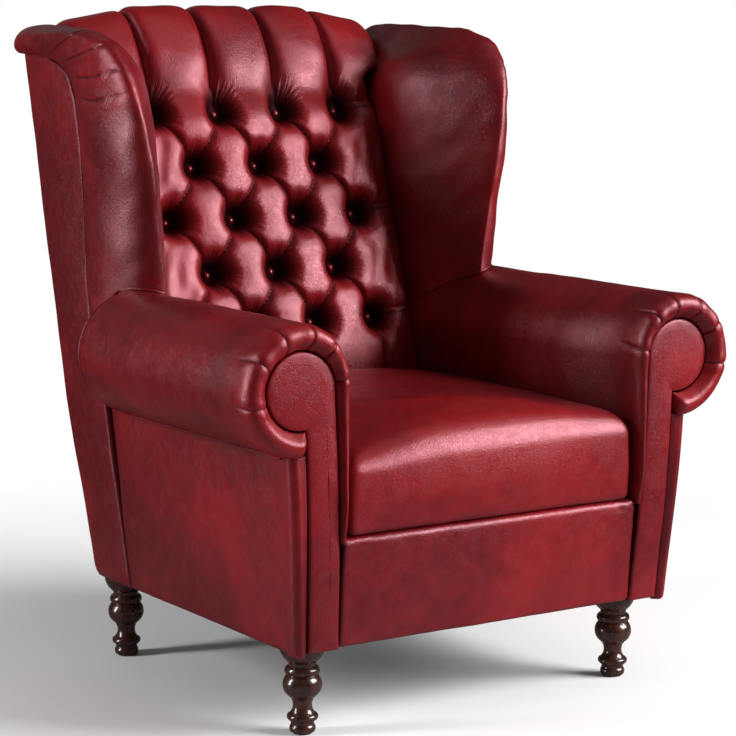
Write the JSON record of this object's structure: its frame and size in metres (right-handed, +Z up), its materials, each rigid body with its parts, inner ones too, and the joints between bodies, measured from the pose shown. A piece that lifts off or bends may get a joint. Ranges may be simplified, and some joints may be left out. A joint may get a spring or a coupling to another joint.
{
  "type": "wingback chair",
  "caption": "High-backed leather wing chair with a buttoned back, rolled arms, loose seat cushion and turned wooden legs.",
  "frame": {"origin": "on the floor under the middle of the chair's overall box", "axes": "+X towards the sitter's left (the viewer's right from the front), +Y towards the back, +Z up; the chair faces -Y"},
  "size_m": [0.882, 0.882, 1.07],
  "materials": {
    "leather": "semi-gloss two-tone",
    "button_leather": "semi-gloss",
    "deck_cloth": "matt",
    "leg_wood": "dark gloss lacquer",
    "frame_wood": "raw beech",
    "steel": "bright wire",
    "glide": "matt",
    "lining": "matt woven",
    "webbing": "matt woven",
    "foam": "matt"
  },
  "bodies": {
    "chair": {"back_buttons": "button_leather", "back_lower_rail": "frame_wood", "back_pad": "leather", "back_top_rail": "frame_wood", "back_webbing": "webbing", "corner_blocks": "frame_wood", "deck_cover": "deck_cloth", "deck_pad": "webbing", "dust_cover": "lining", "foot_glides": "glide", "front_border": "leather", "front_left_leg": "leg_wood", "front_rail": "frame_wood", "front_right_leg": "leg_wood", "left_arm_board": "frame_wood", "left_arm_pad": "leather", "left_arm_tack_rail": "frame_wood", "left_back_upright": "frame_wood", "left_front_facing": "leather", "left_front_post": "frame_wood", "left_outside_arm": "leather", "left_outside_wing": "leather", "left_side_rail": "frame_wood", "left_wing_pad": "leather", "left_wing_post": "frame_wood", "left_wing_top_rail": "frame_wood", "leg_bolts": "steel", "outside_back": "leather", "rail_dowels": "frame_wood", "rear_left_leg": "leg_wood", "rear_rail": "frame_wood", "rear_right_leg": "leg_wood", "right_arm_board": "frame_wood", "right_arm_pad": "leather", "right_arm_tack_rail": "frame_wood", "right_back_upright": "frame_wood", "right_front_facing": "leather", "right_front_post": "frame_wood", "right_outside_arm": "leather", "right_outside_wing": "leather", "right_side_rail": "frame_wood", "right_wing_pad": "leather", "right_wing_post": "frame_wood", "right_wing_top_rail": "frame_wood", "seat_springs": "steel", "spring_clips": "steel", "tee_nuts": "steel"},
    "cushion": {"cushion_core": "foam", "cushion_cover": "leather"}
  },
  "joints": [
    {"name": "cushion_slide", "type": "slide", "parent": "chair", "child": "cushion", "axis": [0, -0.999, 0.0436], "range_m": [0, 0.28]}
  ]
}
